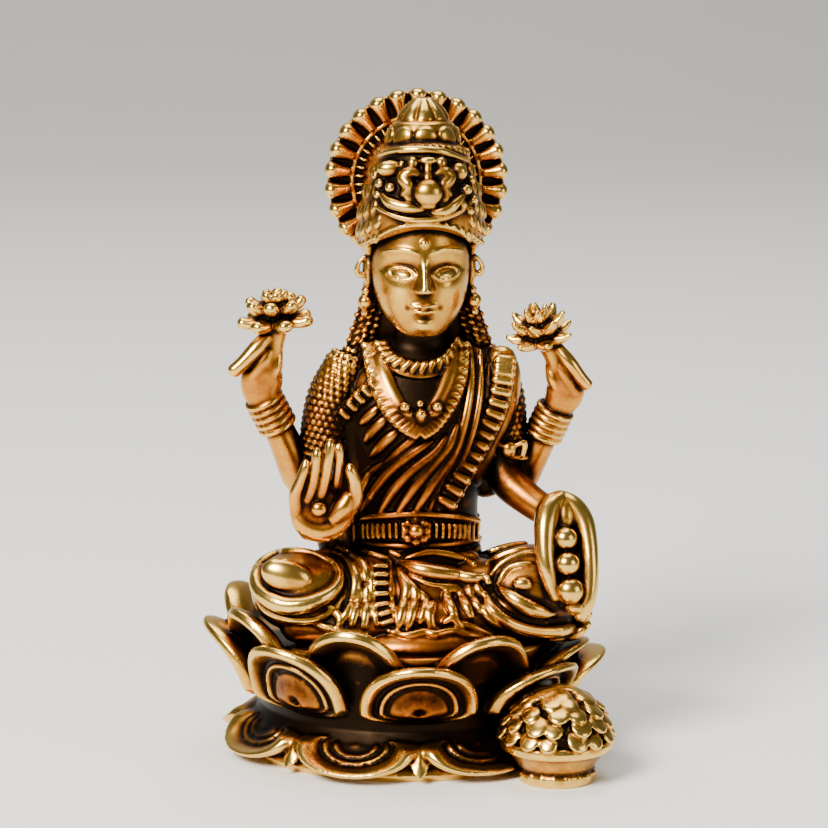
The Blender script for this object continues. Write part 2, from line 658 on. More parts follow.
def trunk():
    mass = trunk_mass()
    body = body_under(mass)
    forms = [stroke(body, pixels, size, lift=0.2) for size, pixels in PLEATS]
    forms += ribbed_band(body, SASH, 15, 1.32, 0.6)
    forms += ribbed_band(body, NECKLINE, 5, 0.95, 0.48)
    return mass + forms + jewellery(body) + belt(body) + figure(drape_back() + belt_back())


def round_trunk(bearing, height, clear=0):
    """The point of the trunk's skin at a bearing and height, in hundredths of the figure."""
    heights, *columns = np.array(TORSO, float).T
    x, y, wide, deep = (np.interp(height, heights, column) for column in columns)
    angle = radians(bearing)
    return x + (wide + clear) * cos(angle), y + (deep + clear) * sin(angle), height


def drape_back():
    """Plain pleats from the far shoulder down across the back to the hip."""
    forms = []
    for i in range(6):
        falls = [(ramp(35 + 9 * i, 95 + 13 * i, t), ramp(46 - i, 21.8, t)) for t in np.linspace(0, 1, 6)]
        forms.append(limb([(*round_trunk(*fall), 0.7) for fall in falls]))
    return forms


def belt_back():
    """The belt's two edges all round, with plain bars across its back."""
    forms = []
    for height in BELT_BACK_EDGES:
        edge = [round_trunk(bearing, height, -0.2) for bearing in range(0, 181, 12)]
        forms.append(limb([(*point, 0.62) for point in edge], between=2, face=(0, 0, 1)))
    for bearing in range(10, 171, 8):
        forms.append(ball(round_trunk(bearing, BELT_BACK_MIDDLE, 0.1), (0.55, 0.55, 1.5)))
    return forms


def belt(body):
    forms = [stroke(body, line, 0.46, lift=0.3, taper=0.9) for line in (BELT_TOP, BELT_BOTTOM)]
    forms += rungs(body, BELT_MIDDLE, 23, (1.02, 0.26, 0.5), lift=0.3)
    middle = seen(body, BELT_BOSS) + VIEW_BACK * 0.6
    forms.append(pebble(middle, (1, 1, 0.9)))
    for i in range(8):
        turn = radians(45 * i)
        place = middle + (VIEW_RIGHT * cos(turn) + VIEW_UP * sin(turn)) * 1.25 - VIEW_BACK * 0.2
        forms.append(pebble(place, (0.55, 0.55, 0.5)))
    low = BELT_BOTTOM[2][1]
    for side in (LEFT, RIGHT):
        for i in range(3):
            x = BELT_BOSS[0] + side * (8 + 19 * i)
            forms.append(stroke(body, [(x, low), (x + side * 9, low + 7), (x + side * 18, low)], 0.42))
    return forms


# The arms
SLEEVE_LEFT = [
    (-13, 0.2, 48.6, 4.2), (-14.8, -0.2, 43.4, 5.2), (-16, -0.6, 37.6, 5.2), (-17, -0.6, 33.6, 4.5),
]
SLEEVE_RIGHT = [(14.6, 1.4, 48.4, 3.6), (16.2, 1.2, 43, 4), (16.6, 0.6, 38, 4), (16.8, 0.2, 35, 3.9)]
SCALE_PITCH = 1.16


def evenly(line, pitch):
    """A line of rows read again at equal steps along its length."""
    run = np.concatenate([[0], np.cumsum(np.linalg.norm(np.diff(line[:, :3], axis=0), axis=1))])
    return np.stack([np.interp(np.arange(0, run[-1], pitch), run, column) for column in line.T], 1)


def scales(stations):
    """Staggered rows of scales square to a sleeve, their lower edges lifted, closing over its shoulder."""
    top = np.array(stations[0])
    rise = (top - stations[1])[:3] / 3
    closing = ((2, 0.35), (1.5, 0.75), (0.8, 0.94))
    over = [(*(top[:3] + rise * step), top[3] * share) for step, share in closing]
    line = evenly(smooth_rows(over + list(stations), 90), SCALE_PITCH)
    along = -unit(np.gradient(line[:, :3], axis=0))
    forms = []
    for row, (x, y, z, size) in enumerate(line):
        across = unit(np.cross((0, -1, 0), along[row]))
        frame = np.stack([across, np.cross(along[row], across), along[row]])
        count = max(5, round(4.6 * size))
        for i in range(count):
            bearing = 360 / count * (i + row % 2 / 2)
            points, faces = stud(bearing, size + 0.04, 0, 0.74, 0.66, 0.46, lean=-18)
            forms.append((points @ frame + (x, y, z), faces))
    return forms


def sleeves():
    forms = [limb(SLEEVE_LEFT, sides=32), limb(SLEEVE_RIGHT, sides=32)]
    forms += scales(SLEEVE_LEFT) + scales(SLEEVE_RIGHT)
    for x, height, radius, size in [
        (17.2, 34.6, 3.9, 0.55), (17.4, 32.4, 3.8, 0.6), (17.3, 33.5, 3.7, 0.6),
    ]:
        forms.append(torus((x, -0.4, height), radius, size, turn=(0, 8, 0)))
    forms.append(ball((17, -4.4, 33.8), (1.5, 1.2, 1.6)))
    for side in (LEFT, RIGHT):
        bow = [(1.2, -4.6, 34.6, 0.5), (3, -4.6, 35, 0.6), (2.6, -4.4, 32.6, 0.5)]
        forms.append(limb([(17 + side * x, *rest) for x, *rest in bow]))
    forms.append(torus((-17, -0.4, 33.6), 4.3, 0.6))
    return forms


def bangles(start, end, radius):
    """Five rings round a forearm, square to the line from start to end."""
    rise = Vector(end - start).normalized()
    turn = np.array(Vector((0, 0, 1)).rotation_difference(rise).to_matrix())
    forms = []
    for i in range(5):
        points, faces = torus((0, 0, 0), radius, 0.38)
        forms.append((points @ turn.T + ramp(start, end, i / 4), faces))
    return forms


def flower(centre, turn, rows):
    """A lotus flower, in mm. A row of petals is (count, lean, height, length, half width, tip)."""
    forms = []
    for row, (count, lean, height, length, wide, tip) in enumerate(rows):
        shape = [
            (0, 0, 0, wide * 0.7, wide * 0.6),
            (0, -0.1, length * 0.45, wide, wide * 0.75),
            (0, -0.1, length * 0.8, wide * (0.5 + 0.5 * tip), wide * (0.35 + 0.4 * tip)),
            (0, 0.15, length, wide * tip, wide * tip * 0.8),
        ]
        for i in range(count):
            points, faces = limb(shape, sides=16, between=5)
            points = points @ turn_matrix((lean, 0, 0)).T + (0, 0, height)
            forms.append(spun((points, faces), 360 / count * (i + row / 2)))
    forms.append(ball((0, 0, 0.7), (1.5, 1.5, 1.3)))
    return [(points @ turn_matrix(turn).T + centre, faces) for points, faces in forms]


# Flowers are (pixel of the stem, lean, petals), bangles (wrist pixel, elbow pixel, radius in mm)
LEFT_FLOWER = [(7, 94, -0.1, 3.9, 1.1, 0.78), (7, 70, 0.6, 3.3, 1.02, 0.78), (5, 36, 1.1, 2.1, 0.85, 0.72)]
RIGHT_FLOWER = [(7, 82, -0.1, 3.8, 1.1, 0.36), (7, 54, 0.4, 3.8, 1.05, 0.36), (4, 24, 1, 3, 0.9, 0.4)]
FLOWERS = [((276, 318), (4, -4, 14), LEFT_FLOWER), ((541, 337), (18, -12, 6), RIGHT_FLOWER)]
BANGLES = [((264, 399), (277, 424), 1.98), ((555, 410), (544, 433), 1.95)]
# Each raised arm, its palm and three fingers. Rows are (sides, [(pixel across, pixel down, depth, radii)]).
RAISED_ARMS = [
    (32, [
        (320, 440, 1.4, 2.4), (314, 474, 1.4, 2.3), (302, 477, 1, 2.2), (292, 457, 0.4, 2),
        (283, 437, -0.3, 1.8), (266, 402, -1.6, 1.7),
    ]),
    (28, [
        (268, 404, -1.7, 1.7), (262, 388, -2.2, 2.35, 1.7), (263, 372, -2.5, 2.3, 1.6),
        (268, 356, -2.6, 1.7, 1.3), (273, 340, -2.6, 1.35, 1.2), (276, 325, -2.6, 1.5, 1.4),
    ]),
    (20, [(267, 337, -3.2, 0.85), (256, 349, -3.7, 0.95), (244, 362, -3.9, 0.85), (234, 371, -3.9, 0.82)]),
    (20, [(271, 348, -3, 0.8), (264, 360, -3.3, 1), (256, 373, -3.2, 0.9), (250, 383, -2.8, 0.7)]),
    (20, [(278, 352, -2.9, 0.6), (275, 368, -3.1, 0.85), (267, 384, -3, 0.8)]),
    (32, [
        (505, 440, 1.4, 2.3), (508, 474, 1.4, 2.3), (520, 476, 1, 2.1), (530, 460, 0.3, 1.9),
        (539, 443, -0.3, 1.75), (556, 408, -1.6, 1.6),
    ]),
    (28, [
        (555, 410, -1.7, 1.6), (564, 395, -2.2, 2.2, 1.6), (566, 380, -2.5, 2.1, 1.5),
        (559, 364, -2.6, 1.5, 1.2), (552, 352, -2.6, 1.15), (546, 341, -2.6, 1.3),
    ]),
    (20, [(558, 348, -3.2, 0.7), (569, 362, -3.8, 0.85), (579, 376, -3.9, 0.8), (587, 385, -3.9, 0.72)]),
    (20, [(556, 358, -2.9, 0.7), (565, 374, -3.3, 0.95), (574, 392, -3.1, 0.8)]),
    (20, [(550, 366, -2.6, 0.6), (554, 380, -2.9, 0.85), (562, 396, -2.9, 0.75)]),
]
# The open palm with its rim and the root of the thumb, then the thumb's side and the fingers
OPEN_PALM = [
    (36, [
        (321, 530, -9.8, 2.6, 1.5), (319, 513, -10.4, 3, 1.6), (315, 497, -10.5, 2.4, 1.2),
        (313, 484, -10.5, 1.9, 0.7),
    ]),
    (24, [
        (299, 512, -10.5, 1.1), (305, 524, -10.7, 1.3), (321, 530, -10.8, 1.4), (337, 524, -10.8, 1.3),
        (347, 510, -10.9, 1.1),
    ]),
    (24, [(334, 518, -11.4, 1), (343, 508, -11.5, 1.15), (349, 498, -11.4, 0.95)]),
    (20, [
        (299, 512, -10.6, 1), (296, 496, -11, 0.85), (301, 480, -11.4, 0.66), (305, 468, -11.5, 0.58),
        (306, 462, -11.5, 0.4),
    ]),
    (20, [
        (308, 500, -11.2, 0.7), (313, 484, -11.5, 0.64), (316, 468, -11.7, 0.6), (317, 455, -11.7, 0.56),
        (317, 450, -11.6, 0.4),
    ]),
    (20, [
        (320, 496, -11.2, 0.7), (325, 478, -11.6, 0.64), (328, 460, -11.8, 0.6), (330, 446, -11.7, 0.56),
        (330, 441, -11.6, 0.4),
    ]),
    (20, [
        (334, 494, -9.8, 0.7), (337, 476, -10.8, 0.6), (339, 460, -11.3, 0.56), (339, 450, -11.4, 0.5),
        (339, 446, -11.4, 0.38),
    ]),
    (20, [
        (345, 512, -11, 1.15), (354, 499, -11.3, 0.98), (355, 484, -11.6, 0.78), (351, 471, -11.8, 0.64),
        (350, 466, -11.8, 0.42),
    ]),
]
PALM_BEAD = (319, 509)
# The lowered hand: its palm, the fingers' near and far sides and the web between them
GIVING_HAND = [
    (36, [
        (558, 505, -6.6, 2.3, 1.5), (566, 538, -8.8, 2.7, 1.4), (568, 572, -10.4, 2.6, 1.4),
        (571, 602, -11.2, 2.1, 1.2),
    ]),
    (24, [
        (560, 500, -8.4, 1.2), (550, 508, -9.2, 1.45), (546, 524, -10.4, 1.4), (545, 545, -11.5, 1.2),
        (547, 566, -12.4, 1.05), (551, 584, -12.8, 0.85), (556, 597, -13, 0.65),
    ]),
    (24, [
        (560, 500, -8.2, 1.2), (573, 507, -8.8, 1.3), (583, 521, -9.6, 1.25), (588, 541, -10.7, 1.1),
        (590, 562, -11.7, 1), (590, 584, -12.4, 0.95), (587, 603, -12.9, 0.9), (580, 616, -12.9, 0.75),
    ]),
    (20, [(564, 508, -9, 1.2), (565, 518, -9.5, 1.2), (565, 527, -9.9, 0.9)]),
]
# Coins that fall from it: (pixel, depth, radii)
FALLING_COINS = [
    ((565, 539), -11.3, (1.42, 1.4, 1.3)),
    ((567, 564), -12.5, (1.45, 1.4, 1.3)),
    ((570, 591), -13.2, (1.6, 1.55, 1.3)),
    ((576, 607), -12.9, (1.3, 0.9, 1)),
]


def raised_arms():
    forms = traced(RAISED_ARMS)
    for wrist, elbow, radius in BANGLES:
        forms += bangles(spot(wrist, -1.6), spot(elbow, -0.8), radius)
    for stem, lean, petals in FLOWERS:
        forms += flower(spot(stem, -2.6), lean, petals)
    return forms


def open_palm():
    arm = [(-17, 0, 34, 4), (-17.6, -3, 27.6, 3.6), (-18, -9, 23.6, 3.3), (-18.6, -14.6, 22.6, 3)]
    cuff = [torus((-18.1, y, 23 + y / 50), 3.5, 0.6, turn=(80, 0, 0)) for y in (-11.4, -12.9)]
    forms = figure([limb(arm, sides=28, face=(1, 0, 0))] + cuff) + traced(OPEN_PALM)
    return forms + [pebble(spot(PALM_BEAD, -12), (0.9, 0.85, 0.6), around=28, down=18)]


def giving_hand():
    arm = [
        (16.4, 0, 35, 3.8), (16.2, -1, 30.4, 3.7), (17.2, -3, 27.4, 3.5), (20.6, -6.4, 24.6, 3.1),
        (24.2, -10, 22.6, 2.9),
    ]
    forms = figure([limb(arm, sides=28, face=(0, 1, 0))]) + traced(GIVING_HAND)
    for pixel, depth, radii in FALLING_COINS:
        forms.append(pebble(spot(pixel, depth), radii, around=28, down=18))
    return forms


# The head: a calm, plain, evenly proportioned face, raised and sunk from one smooth skin
def face_relief(x, z):
    """How far the face stands proud at x from its middle and height z, in hundredths of the figure."""
    side = np.abs(x)

    def hill(across, height, wide, tall):
        return np.exp(-(((side - across) / wide) ** 2) - ((z - height) / tall) ** 2)

    def ridge(line, size, reach, power=4):
        return np.exp(-(((z - line) / size) ** 2) - reach**power)

    slope = np.clip((71.4 - z) / 6.2, 0, 1)
    tip = np.clip((z - 63.9) / 0.9, 0, 1)
    nose = (0.3 + 2.1 * slope**1.2) * np.exp(-((side / (0.85 + 0.45 * slope)) ** 2.4))
    nose = nose * tip * tip * (3 - 2 * tip) * np.clip((72 - z) / 3, 0, 1)
    brow = 0.42 * ridge(71.3 + 1.1 * np.clip(1 - ((side - 4.2) / 4) ** 2, 0, 1), 0.42, (side - 4.3) / 3, 6)
    from_eye = np.hypot((side - 4.1) / 2.15, (z - 68 - 0.06 * (side - 4.1)) / 1.05)
    eye = 0.75 * np.sqrt(np.clip(1 - (from_eye / 0.84) ** 2, 0, 1))
    eyelids = 0.42 * np.exp(-(((from_eye - 1.08) / 0.18) ** 2))
    eyelids = eyelids - 0.1 * (z > 68) * np.exp(-(((from_eye - 1.5) / 0.25) ** 2))
    upper_lip = 0.5 * ridge(62.05 - 0.22 * np.exp(-((side / 0.4) ** 2)), 0.42, side / 2.6)
    lower_lip = 0.6 * ridge(60.95 + 0.06 * side**2, 0.48, side / 2)
    parting = -0.5 * ridge(61.5 + 0.03 * side**2, 0.17, side / 2.8, 6)
    soft = 0.6 * hill(4.9, 65, 2.6, 2.4) + 0.5 * hill(0, 61.4, 3.2, 2.2) + 0.9 * hill(0, 58.1, 2.2, 1.5)
    hollows = 0.9 * hill(3.8, 69, 2.9, 1.5) + 0.4 * hill(0, 59.8, 1.7, 0.5)
    hollows = hollows + 0.3 * hill(3.1, 61.8, 0.5, 0.6)
    wings = 0.8 * hill(1.3, 65, 0.55, 0.6)
    mark = 0.55 * np.sqrt(np.clip(1 - (side / 0.75) ** 2 - ((z - 73.6) / 0.75) ** 2, 0, 1))
    return nose + brow + eye + eyelids + upper_lip + lower_lip + parting + soft - hollows + wings + mark


def face():
    rows = smooth_rows(HEAD, 230)
    angle = np.linspace(0, 2 * pi, 260, endpoint=False)
    z, x, y, wide, deep = (rows[:, i : i + 1] for i in range(5))
    across, along = wide * np.cos(angle), deep * np.sin(angle)
    front = np.clip(-np.sin(angle) * 2.2, 0, 1)
    return skin(np.stack([x + across, y + along - front * face_relief(across, z), z + 0 * across], -1))


def head():
    return figure([face()] + ear(LEFT) + ear(RIGHT) + hair())


def ear(side):
    x = 0.6 + side * 9.4
    drops = [(0.5, 63.6, 0.75, 0.75), (0.7, 61.6, 1.45, 1.45), (0.8, 59.6, 0.75, 0.85)]
    return [
        ball((x, -0.8, 67.4), (1.2, 2, 3.4)),
        torus((x + side * 0.6, -1.6, 68.4), 1.3, 0.42, turn=(90, 0, side * 40), deep=1.6),
    ] + [ball((x + side * out, -1.6, z), (size, size, tall)) for out, z, size, tall in drops]


def hair():
    mass = [
        (44, 0.8, 5, 11, 3), (50, 0.8, 5, 12, 4), (56, 0.8, 4.4, 10.6, 4.6), (64, 0.8, 3.4, 9.6, 5.6),
        (72, 0.8, 2.6, 9.4, 6), (78, 0.9, 2.6, 8, 6),
    ]
    forms = [stack(mass)]
    for side in (LEFT, RIGHT):
        path = [
            (7, 2, 73, 2.3), (7.2, 2.4, 66, 2.3), (8.6, 2.4, 60, 2.3), (10.6, 2.4, 53.6, 2.4),
            (11, 2.6, 50, 2.2),
        ]
        forms.append(limb([(0.8 + side * x, y, z, size) for x, y, z, size in path], sides=24))
        for strand, (shift, forward) in enumerate([(-1.3, -1.9), (0.1, -2.3), (1.4, -1.6), (2.2, -0.3)]):
            for i, (x, y, z, _) in enumerate(smooth_rows(path, 22)):
                place = (0.8 + side * (x + shift + 0.15 * (-1) ** i), y + forward, z + 0.5 * (strand % 2))
                forms.append(ball(place, (0.82, 0.7, 0.52), turn=(0, side * 24, 0), around=12, down=8))
    for i in range(9):
        x = -8.6 + 2.35 * i
        forms.append(limb([
            (x * 0.8, 7.8, 74, 0.8), (x * 0.95, 8.6, 64, 0.95), (x * 1.1, 8.9, 54, 1),
            (x * 1.2, 8.3, 46, 0.9),
        ]))
    return forms


# The crown, whose bands rise to an arch over the brow, and the halo behind it
HALO_CENTRE = np.array([0.8, 8.6, 83])
HALO_RADIUS = 16.3
HALO_RIBS = 19
HALO_RIB_SPAN = (-36, 214)
HALO_BARS = 25
HALO_BAR_SPAN = (-12, 192)
HALO_BAR_RADIUS = 10.5
HALO_RING = 12
CROWN = [
    (0, 76.2), (10.4, 76.2), (11.2, 76.8), (11.5, 78.4), (11.7, 81), (11.5, 83.6), (10.9, 85.4),
    (10, 87.4), (9, 89.6), (8.6, 91), (8.2, 91.6), (6.9, 92), (6.3, 92.6), (6.1, 94),
    (5.6, 94.9), (4.7, 95.4), (4.3, 95.9), (3.8, 96.8), (2.8, 98), (1.5, 99), (0, 99.4),
]
# Ornaments all round the crown: (height, count, across, tall, deep, clear of the front by degrees)
CROWN_ROWS = [
    (77.7, 40, 0.72, 0.5, 0.5, 0),
    (80.4, 30, 0.95, 1.3, 0.55, 47),
    (83.4, 30, 0.85, 1.2, 0.55, 49),
    (86.1, 28, 0.85, 1.1, 0.5, 47),
    (88.6, 26, 0.75, 0.95, 0.5, 40),
    (91.2, 40, 0.52, 0.42, 0.4, 0),
]
# Rows are (size in mm, pixels)
CROWN_LINES = [
    (0.5, [(377, 156), (393, 151), (414, 150), (435, 151), (452, 155), (468, 161)]),
    (0.84, [(421, 176), (412, 173), (404, 178), (409, 187), (403, 196)]),
    (0.6, [(415, 186), (408, 195), (414, 203)]),
    (0.84, [(434, 176), (443, 173), (449, 178), (443, 187), (450, 196)]),
    (0.6, [(439, 188), (445, 196), (440, 204)]),
    (0.7, [(382, 194), (389, 202), (400, 206), (412, 208), (424, 209)]),
    (0.7, [(432, 212), (443, 211), (452, 206), (463, 196)]),
    (0.4, [(376, 207), (390, 214), (407, 219), (426, 220), (446, 217), (462, 210), (473, 200)]),
    (0.8, [(428, 184, 1.2), (428, 173, 0.72), (428, 161, 0.9)]),
    (0.28, [
        (374, 249), (379, 238), (390, 230), (407, 226), (424, 225), (442, 226), (457, 230), (467, 238),
        (471, 247),
    ]),
]
# Rows are (half width, half height, deep, in mm, pixels)
CROWN_BEADS = [
    (1.7, 1.6, 1.2, [(428, 193)]),
    (1.15, 0.5, 0.7, [(428, 161)]),
    (1, 0.45, 0.7, [(428, 206)]),
    (1.7, 1, 0.9, [(392, 169)]),
    (0.7, 0.85, 0.7, [(441, 164), (413, 164)]),
    (1.05, 1.05, 0.8, [(458, 172)]),
    (0.7, 0.62, 0.6, [(381, 184), (391, 188), (466, 190)]),
    (0.5, 0.5, 0.55, [(378, 195), (474, 200), (463, 205), (470, 211), (376, 176), (402, 165), (471, 180)]),
]


def crowned(points):
    x, y, z = points[:, 0], points[:, 1], points[:, 2]
    drop = np.interp(z, (76, 84, 92, 96), (4, 3.8, 2.6, 0)) * (x / 10) ** 2
    return np.stack([0.8 + x + 0.02 * (z - 73.4), np.minimum(y - 1, HALO_CENTRE[1] + 0.4), z - drop], -1)


def crown_stud(bearing, height, across, tall, deep, lean):
    radii, heights = zip(*CROWN[1:])
    radius = np.interp(height, heights, radii)
    return changed(stud(bearing, radius, height, across, tall, deep, lean), crowned)


def crown_ornaments():
    """Rows of small leaves and beads, the bulging panels of the upper tier and the flutes of the finial."""
    forms = []
    for row, (height, count, across, tall, deep, clear) in enumerate(CROWN_ROWS):
        for i in range(count):
            bearing = 360 / count * (i + row % 2 / 2)
            if abs(bearing - 270) >= clear:
                forms.append(crown_stud(bearing, height, across, tall, deep, lean=-8))
    forms += [crown_stud(270 + 40 * i, 92.8, 2.2, 1.75, 0.8, lean=-10) for i in range(9)]
    for i in range(8):
        facet = [(4.2, 0, 95.6, 1.5, 0.7), (3.3, 0, 97.1, 1.2, 0.6), (1.4, 0, 99, 0.6, 0.4)]
        forms.append(changed(spun(limb(facet, face=(1, 0, 0)), 270 + 45 * i), crowned))
    return forms


def crown():
    mass = [changed(turning(CROWN, 120), crowned)]
    for side in (LEFT, RIGHT):
        flap = [
            (0.8 + side * 10.2, -2, 75.4, 1.5, 4), (0.7 + side * 9.8, -1.6, 73.4, 1.4, 3.8),
            (0.7 + side * 9.4, -1.2, 71.4, 1.2, 3),
        ]
        mass.append(limb(flap, sides=24))
    mass = figure(mass)
    body = body_under(mass)
    forms = [stroke(body, pixels, size) for size, pixels in CROWN_LINES]
    for wide, tall, deep, places in CROWN_BEADS:
        forms += [bead(body, place, (wide, tall, deep), 0.25) for place in places]
    return mass + forms + figure(crown_ornaments())


def halo_point(bearing, radius, forward):
    angle = radians(bearing)
    return HALO_CENTRE + (radius * cos(angle), -forward, radius * sin(angle))


def halo():
    """A disc with ribs that end in pearls, a ring on them and a row of small bars inside it."""
    rim = HALO_RADIUS + 0.3
    disc, faces = turning([
        (0, -1), (HALO_RADIUS, -1), (rim, -0.6), (rim, -0.2), (HALO_RADIUS, 0), (0, 0),
    ], 140)
    forms = [(disc @ turn_matrix((90, 0, 0)).T + HALO_CENTRE, faces)]
    stations = [
        (12.9, 0, 0, 0.95, 1.1), (14, 0, 0, 1.15, 1.4), (15.1, 0, 0, 1.5, 1.7), (16, 0, 0, 1.68, 1.9),
    ]
    for i in range(HALO_RIBS):
        rib, rib_faces = limb(stations, sides=24)
        turn = turn_matrix((0, -ramp(*HALO_RIB_SPAN, i / (HALO_RIBS - 1)), 0))
        forms.append((rib @ turn.T + halo_point(0, 0, 0.7), rib_faces))
    forms.append(torus(halo_point(0, 0, 0.8), HALO_RING, 0.42, turn=(90, 0, 0), around=140))
    for i in range(HALO_BARS):
        bearing = ramp(*HALO_BAR_SPAN, i / (HALO_BARS - 1))
        place = halo_point(bearing, HALO_BAR_RADIUS, 0.5)
        forms.append(ball(place, (1, 0.8, 0.36), turn=(0, -bearing, 0)))
    return figure(forms)


# From forms to sculpted pieces
def mesh_of(name, points, faces):
    mesh = bpy.data.meshes.new(name)
    mesh.vertices.add(len(points))
    mesh.vertices.foreach_set("co", np.ascontiguousarray(points, np.float32).ravel())
    mesh.loops.add(len(faces) * 3)
    mesh.loops.foreach_set("vertex_index", np.ascontiguousarray(faces, np.int32).ravel())
    mesh.polygons.add(len(faces))
    mesh.polygons.foreach_set("loop_start", np.arange(0, len(faces) * 3, 3, dtype=np.int32))
    mesh.update(calc_edges=True)
    mesh.validate()
    return mesh


def joined(forms):
    points, faces, total = [], [], 0
    for p, f in forms:
        points.append(p)
        faces.append(f + total)
        total += len(p)
    return np.concatenate(points), np.concatenate(faces)


def rows_of(mesh, name):
    """Each vertex's place (co) or normal, as rows of an array."""
    values = np.empty(len(mesh.vertices) * 3, np.float32)
    mesh.vertices.foreach_get(name, values)
    return values.reshape(-1, 3).astype(float)


def sculpted(name, forms, voxel, budget):
    """The forms fused into one skin, in millimetres, softened like a casting and thinned to its budget."""
    piece = bpy.data.objects.new(name, mesh_of(name, *joined(forms)))
    bpy.context.scene.collection.objects.link(piece)
    fuse = piece.modifiers.new("fuse", "REMESH")
    fuse.mode = "VOXEL"
    fuse.voxel_size = voxel * 1
    fuse.use_smooth_shade = True
    smooth = piece.modifiers.new("soften", "SMOOTH")
    smooth.factor = 0.5
    smooth.iterations = 2
    thin = piece.modifiers.new("thin", "DECIMATE")

    def result():
        return bpy.data.meshes.new_from_object(piece.evaluated_get(bpy.context.evaluated_depsgraph_get()))

    mesh = result()
    triangles = sum(len(p.vertices) - 2 for p in mesh.polygons)
    if triangles > budget:
        thin.ratio = budget / triangles
        mesh = result()
    piece.modifiers.clear()
    piece.data = mesh
    mesh.name = name
    mesh.shade_smooth()
    return piece


# How worn or hollow the casting is at each point, read from the metal round it in cells of one step.
# A relief is (reach of the average, how far in front of the skin it is read, its value on a flat skin).
GRID_STEP = 0.2
GRID_MARGIN = 4
RELIEFS = {
    "edge_relief": (0.4, 0, 0.5),
    "hollow_relief": (0.25, 0.3, 0.14),
    "valley_relief": (1.2, 1.1, 0.2),
}


def metal_grid(pieces, low, counts, step):
    """Which cells of a grid hold metal, from rays straight up through every piece."""
    grid = np.zeros(counts, np.float32)
    depsgraph = bpy.context.evaluated_depsgraph_get()
    up = Vector((0, 0, 1))
    for piece in pieces:
        tree = BVHTree.FromObject(piece, depsgraph)
        co = rows_of(piece.data, "co")
        first = np.floor((co.min(0) - low) / step).astype(int)
        last = np.ceil((co.max(0) - low) / step).astype(int)
        bottom = co[:, 2].min() - 1
        for i in range(first[0], last[0]):
            for j in range(first[1], last[1]):
                x, y = low[0] + (i + 0.5) * step, low[1] + (j + 0.5) * step
                crossings = []
                hit = tree.ray_cast(Vector((x, y, bottom)), up)[0]
                while hit is not None:
                    crossings.append((hit.z - low[2]) / step)
                    hit = tree.ray_cast(Vector((x, y, hit.z + 1e-3)), up)[0]
                for start, end in zip(crossings[::2], crossings[1::2]):
                    cells = np.arange(int(start), int(end) + 1)
                    share = np.minimum(cells + 1, end) - np.maximum(cells, start)
                    grid[i, j, cells] = np.maximum(grid[i, j, cells], share)
    return grid


def blurred(grid, reach):
    """The grid averaged over about reach cells each way, softly."""
    half = max(1, round(reach))
    for _ in range(3):
        for axis in range(3):
            pad = [(0, 0)] * 3
            pad[axis] = (half + 1, half)
            total = np.cumsum(np.pad(grid, pad, mode="edge"), axis=axis, dtype=np.float32)
            size = grid.shape[axis]
            ahead = np.take(total, np.arange(2 * half + 1, 2 * half + 1 + size), axis=axis)
            behind = np.take(total, np.arange(size), axis=axis)
            grid = (ahead - behind) / (2 * half + 1)
    return grid


def sampled(grid, low, step, points):
    place = (points - low) / step - 0.5
    cell = np.clip(np.floor(place).astype(int), 0, np.array(grid.shape) - 2)
    f = np.clip(place - cell, 0, 1)
    value = 0
    for corner in range(8):
        k = np.array([corner & 1, corner >> 1 & 1, corner >> 2 & 1])
        weight = np.prod(np.where(k, f, 1 - f), axis=1)
        i, j, h = (cell + k).T
        value = value + weight * grid[i, j, h]
    return value


def set_attribute(mesh, name, values):
    attribute = mesh.attributes.new(name, "FLOAT", "POINT")
    attribute.data.foreach_set("value", np.ascontiguousarray(values, np.float32))


def add_relief(pieces):
    """Give every piece its reliefs: 0 is flat, more is hollow, less is proud."""
    step = GRID_STEP * 1
    clouds = [rows_of(piece.data, "co") for piece in pieces]
    low = np.min([co.min(0) for co in clouds], axis=0) - GRID_MARGIN
    high = np.max([co.max(0) for co in clouds], axis=0) + GRID_MARGIN
    grid = metal_grid(pieces, low, np.ceil((high - low) / step).astype(int), step)
    for name, (reach, ahead, flat) in RELIEFS.items():
        soft = blurred(grid, reach / step)
        for piece, co in zip(pieces, clouds):
            place = co + rows_of(piece.data, "normal") * ahead
            set_attribute(piece.data, name, sampled(soft, low, step, place) - flat)


